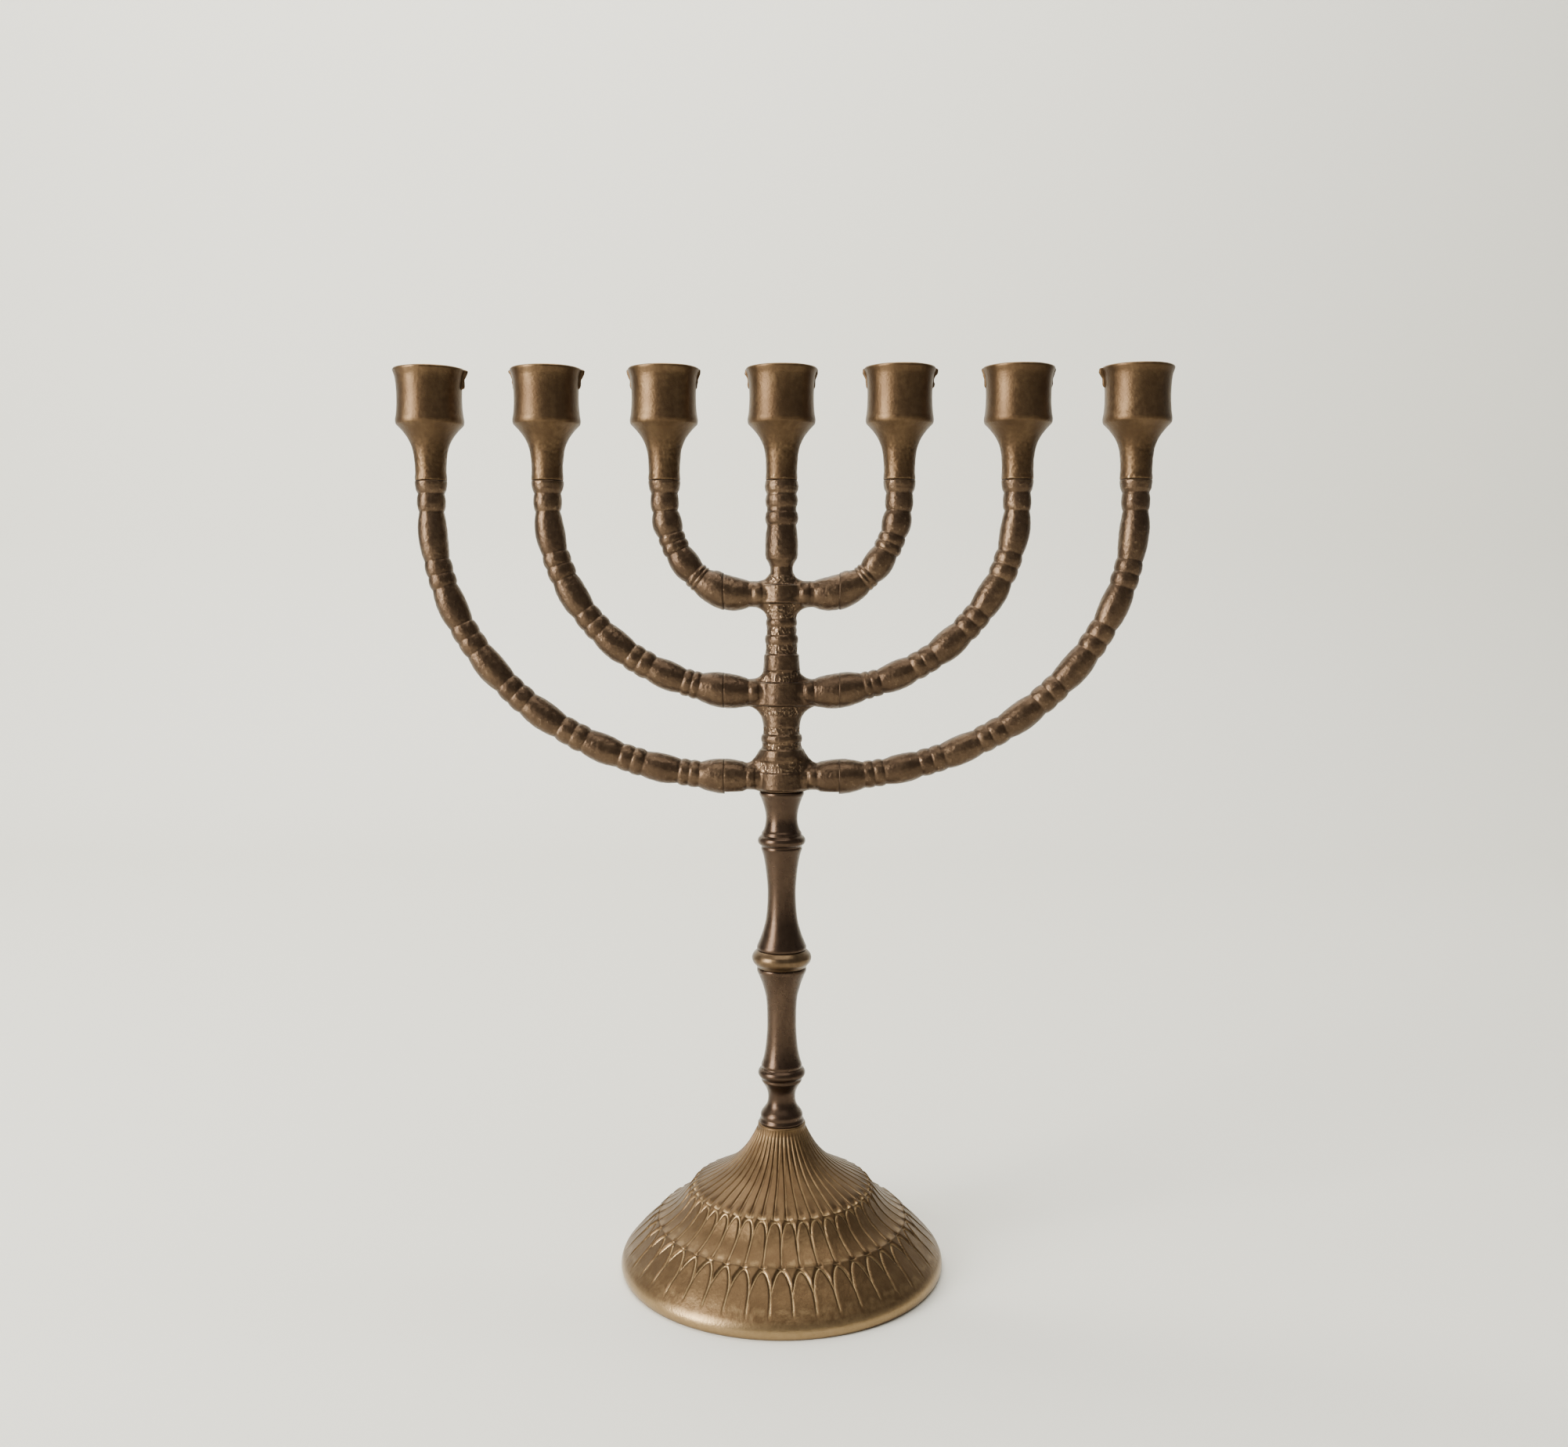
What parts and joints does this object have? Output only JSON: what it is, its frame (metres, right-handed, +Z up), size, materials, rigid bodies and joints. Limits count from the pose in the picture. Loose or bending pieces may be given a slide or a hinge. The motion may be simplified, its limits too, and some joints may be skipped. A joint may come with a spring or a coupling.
{
  "type": "menorah",
  "caption": "Tall branched brass candelabrum on a flared ribbed foot, with curved ringed arms holding a level row of open candle cups.",
  "frame": {"origin": "middle of the foot's underside, on the surface it stands on", "axes": "+Z up along the column, +X along the row of cups, +Y to the back"},
  "size_m": [0.2908, 0.1248, 0.3442],
  "materials": {
    "foot_brass": "cast, brown patina rubbed to warm brass on the ribs and rim",
    "turned_brass": "lathe-turned, satin with brown patina",
    "ring_brass": "turned, brighter yellow brass, satin",
    "cast_brass": "rough sand-cast surface with brown patina",
    "cup_brass": "lathe-turned, satin with brown patina and a bright worn lip",
    "rod_steel": "plain steel, dull"
  },
  "bodies": {
    "stand": {"base": "foot_brass", "lower_stem": "turned_brass", "knop_ring": "ring_brass", "upper_stem": "turned_brass", "base_washer": "rod_steel"},
    "candelabrum": {"column": "cast_brass", "arm_inner_left": "cast_brass", "arm_inner_right": "cast_brass", "arm_middle_left": "cast_brass", "arm_middle_right": "cast_brass", "arm_outer_left": "cast_brass", "arm_outer_right": "cast_brass", "cup_centre": "cup_brass", "cup_inner_left": "cup_brass", "cup_inner_right": "cup_brass", "cup_middle_left": "cup_brass", "cup_middle_right": "cup_brass", "cup_outer_left": "cup_brass", "cup_outer_right": "cup_brass", "tie_rod": "rod_steel", "base_nut": "rod_steel"}
  },
  "joints": [
    {"name": "candelabrum_turn", "type": "hinge", "parent": "stand", "child": "candelabrum", "pos_m": [0, 0, 0.1857], "axis": [0, 0, 1], "continuous": true}
  ]
}
